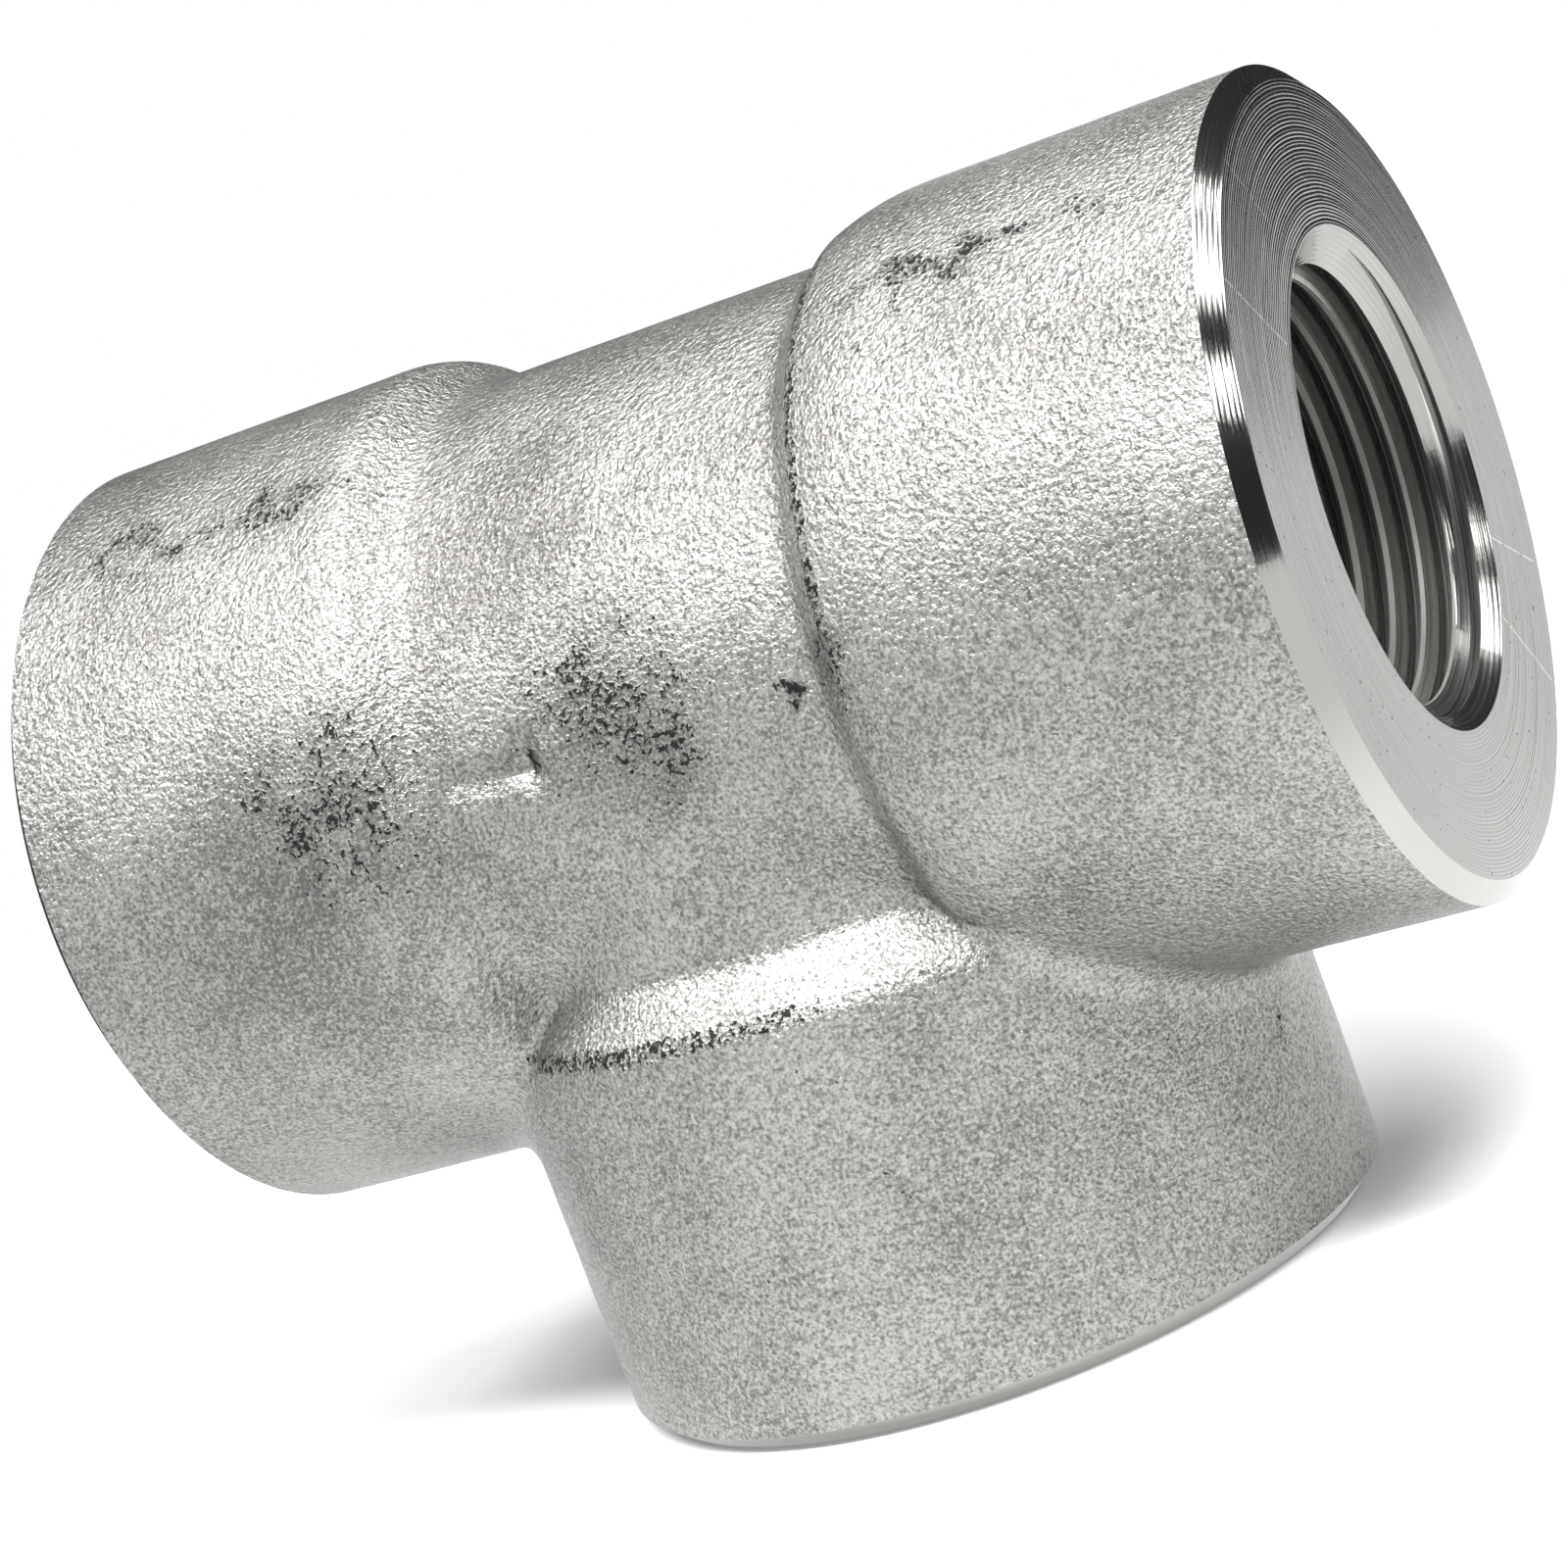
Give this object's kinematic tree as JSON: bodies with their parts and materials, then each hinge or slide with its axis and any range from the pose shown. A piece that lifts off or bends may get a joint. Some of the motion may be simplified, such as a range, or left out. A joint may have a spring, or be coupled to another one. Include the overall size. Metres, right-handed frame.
{
  "type": "threaded pipe tee",
  "caption": "Forged steel pipe tee with equal run and branch, thick banded ends, and a female taper pipe thread in every port.",
  "frame": {"origin": "centre of the branch's machined end face, on which the tee stands", "axes": "+X along the run, +Z from the branch's face up to the run"},
  "size_m": [0.076, 0.046, 0.061],
  "materials": {
    "forged_steel": "blasted and pickled stainless forging with turned faces and tapped ports"
  },
  "bodies": {
    "root": {"tee_body": "forged_steel"}
  },
  "joints": []
}
